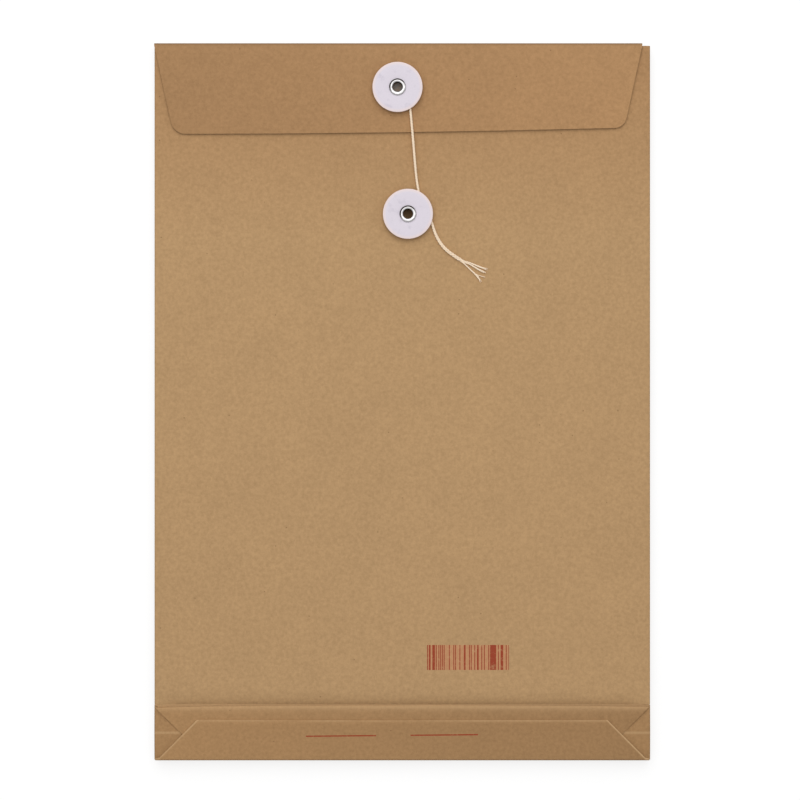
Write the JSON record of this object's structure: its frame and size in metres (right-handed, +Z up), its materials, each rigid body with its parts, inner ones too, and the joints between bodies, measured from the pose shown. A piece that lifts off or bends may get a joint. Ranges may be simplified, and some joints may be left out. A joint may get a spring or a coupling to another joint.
{
  "type": "string tie envelope",
  "caption": "Flat gusseted paper document bag with a hinged closing flap, folded block bottom, and a string that ties round turning card washers on eyelets.",
  "frame": {"origin": "under the middle of the bag, on the surface that its back lies on", "axes": "+X across the bag, +Y towards the mouth and the flap's fold, +Z up out of the front face"},
  "size_m": [0.238, 0.344, 0.0104],
  "materials": {
    "kraft_paper": "matt",
    "washer_card": "satin",
    "eyelet_metal": "bright plated",
    "cotton_string": "matt"
  },
  "bodies": {
    "bag": {"back_panel_left": "kraft_paper", "back_panel_right": "kraft_paper", "gusset_left_back_ply": "kraft_paper", "gusset_right_back_ply": "kraft_paper", "bottom_upper_flap": "kraft_paper", "bottom_lower_flap": "kraft_paper", "corner_tuck_left": "kraft_paper", "corner_tuck_right": "kraft_paper"},
    "front": {"front_panel": "kraft_paper", "gusset_left_front_ply": "kraft_paper", "gusset_right_front_ply": "kraft_paper", "body_eyelet": "eyelet_metal"},
    "spine": {"flap_spine": "kraft_paper"},
    "flap": {"top_flap": "kraft_paper", "flap_eyelet": "eyelet_metal", "string_tie": "cotton_string", "string_run": "cotton_string", "string_strand_upper": "cotton_string", "string_strand_middle": "cotton_string", "string_strand_lower": "cotton_string"},
    "upper_washer": {"flap_washer": "washer_card"},
    "lower_washer": {"body_washer": "washer_card"}
  },
  "joints": [
    {"name": "spine_crease", "type": "hinge", "parent": "bag", "child": "spine", "pos_m": [0, 0.172, 0], "axis": [-1, 0, 0], "range_deg": [0, 90]},
    {"name": "flap_crease", "type": "hinge", "parent": "spine", "child": "flap", "pos_m": [0, 0.172, 0.0072], "axis": [-1, 0, 0], "range_deg": [0, 90]},
    {"name": "mouth_crease", "type": "hinge", "parent": "bag", "child": "front", "pos_m": [0, -0.1453, 0.006], "axis": [1, 0, 0], "range_deg": [0, 2]},
    {"name": "flap_washer_turn", "type": "hinge", "parent": "flap", "child": "upper_washer", "pos_m": [-0.0023, 0.1506, 0.0088], "axis": [0, 0, 1], "continuous": true},
    {"name": "body_washer_turn", "type": "hinge", "parent": "front", "child": "lower_washer", "pos_m": [0.0027, 0.09, 0.0076], "axis": [0, 0, 1], "continuous": true}
  ],
  "couplings": [
    {"joint": "flap_crease", "follows": "spine_crease", "ratio": 1},
    {"joint": "mouth_crease", "follows": "spine_crease", "ratio": 0.0222}
  ]
}
